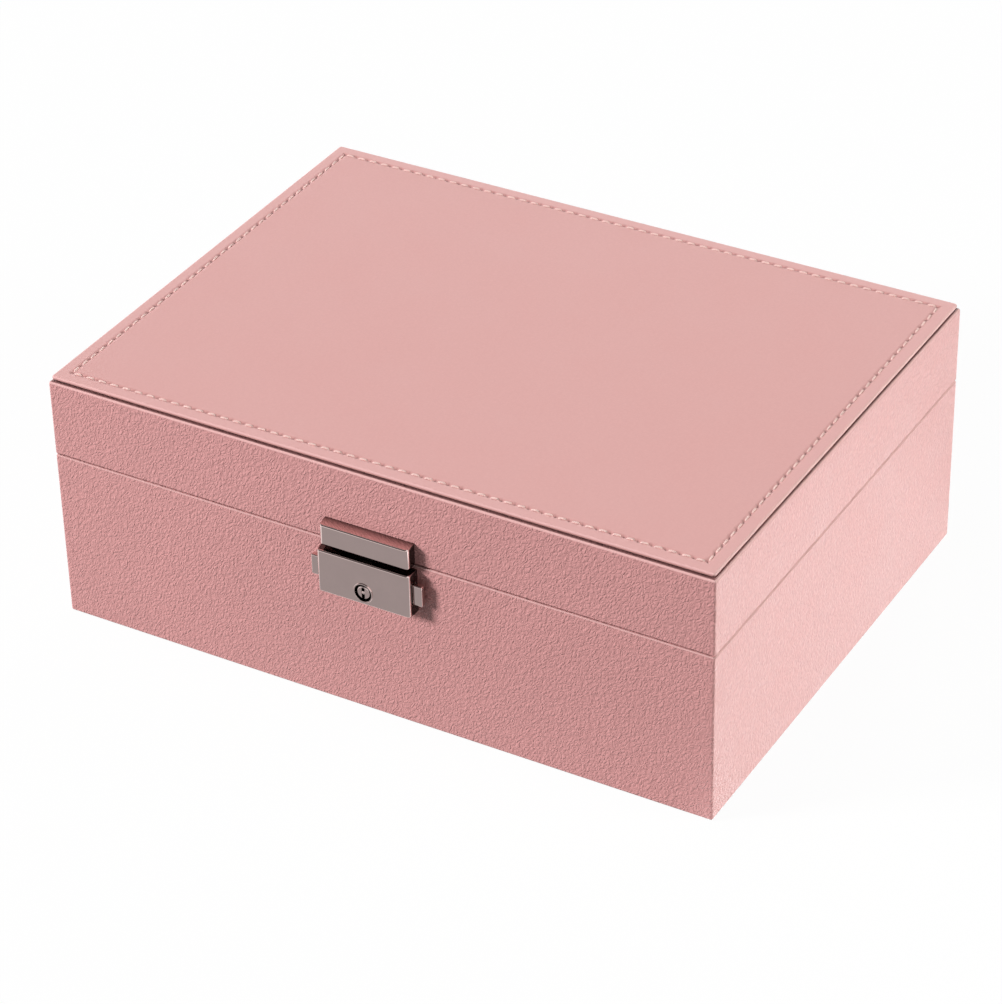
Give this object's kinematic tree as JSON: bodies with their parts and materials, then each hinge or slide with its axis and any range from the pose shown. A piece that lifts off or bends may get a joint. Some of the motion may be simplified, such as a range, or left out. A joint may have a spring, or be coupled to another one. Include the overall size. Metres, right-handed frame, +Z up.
{
  "type": "jewellery box",
  "caption": "Lockable leather-covered jewellery box with a hinged stitched lid, a squeeze lock, a lift-out ring tray, a mirror in the lid and a divided lower layer.",
  "frame": {"origin": "centre of the underside, on the surface that the box stands on", "axes": "+X along the box's width to the right seen from the front, +Y to the back, +Z up; the lock faces -Y"},
  "size_m": [0.23, 0.1824, 0.0882],
  "materials": {
    "pink_leather": "pebble-grained synthetic leather, soft sheen",
    "board": "plain fibreboard",
    "velvet": "short-pile velvet over board",
    "ring_roll_velvet": "short-pile velvet over foam",
    "foot_cloth": "flocked sheet",
    "thread": "twisted sewing thread",
    "mirror_glass": "silvered glass",
    "polished_nickel": "polished nickel plate",
    "steel": "plain steel"
  },
  "bodies": {
    "base": {"foot_sheet": "foot_cloth", "base_board": "board", "base_front_panel": "board", "base_back_panel": "board", "base_left_panel": "board", "base_right_panel": "board", "base_cover": "pink_leather", "base_lining": "velvet", "tray_ledges": "velvet", "base_divider_long": "velvet", "base_dividers_cross": "velvet", "lock_case": "polished_nickel", "lock_backplate": "steel", "button_spring_left": "steel", "button_spring_right": "steel", "hinge_base_leaf_left": "polished_nickel", "hinge_base_leaf_right": "polished_nickel", "hinge_pins": "steel", "hinge_screws_base": "steel"},
    "lid": {"lid_front_panel": "board", "lid_back_panel": "board", "lid_left_panel": "board", "lid_right_panel": "board", "lid_top_board": "board", "lid_cover": "pink_leather", "lid_lining": "velvet", "top_card": "board", "top_cover": "pink_leather", "top_stitching": "thread", "mirror_frame": "velvet", "mirror": "mirror_glass", "hasp_block": "polished_nickel", "hasp_tongue": "steel", "hasp_screws": "steel", "hinge_lid_leaf_left": "polished_nickel", "hinge_lid_leaf_right": "polished_nickel", "hinge_screws_lid": "steel"},
    "tray": {"tray_floor": "velvet", "tray_front_wall": "velvet", "tray_back_wall": "velvet", "tray_left_wall": "velvet", "tray_right_wall": "velvet", "tray_divider_front": "velvet", "tray_divider_ring": "velvet", "tray_divider_ring_back": "velvet", "tray_divider_rear_long": "velvet", "tray_divider_rear_cross": "velvet", "tray_pull_tabs": "pink_leather", "ring_roll_1": "ring_roll_velvet", "ring_roll_2": "ring_roll_velvet", "ring_roll_3": "ring_roll_velvet", "ring_roll_4": "ring_roll_velvet", "ring_roll_5": "ring_roll_velvet", "ring_roll_6": "ring_roll_velvet"},
    "left_button": {"button_left": "polished_nickel"},
    "right_button": {"button_right": "polished_nickel"},
    "key_cylinder": {"lock_plug": "polished_nickel", "lock_cam": "steel"}
  },
  "joints": [
    {"name": "lid_hinge", "type": "hinge", "parent": "base", "child": "lid", "pos_m": [0, 0.0878, 0.0596], "axis": [-1, 0, 0], "range_deg": [0, 100]},
    {"name": "tray_lift", "type": "slide", "parent": "base", "child": "tray", "axis": [0, 0, 1], "range_m": [0, 0.015]},
    {"name": "left_button_push", "type": "slide", "parent": "base", "child": "left_button", "axis": [1, 0, 0], "range_m": [0, 0.0025], "stiffness_N_per_m": 300, "springref_m": -0.002, "deforming": ["button_spring_left"]},
    {"name": "right_button_push", "type": "slide", "parent": "base", "child": "right_button", "axis": [-1, 0, 0], "range_m": [0, 0.0025], "stiffness_N_per_m": 300, "springref_m": -0.002, "deforming": ["button_spring_right"]},
    {"name": "key_turn", "type": "hinge", "parent": "base", "child": "key_cylinder", "pos_m": [0, -0.0885, 0.04769], "axis": [0, -1, 0], "range_deg": [0, 90]}
  ]
}
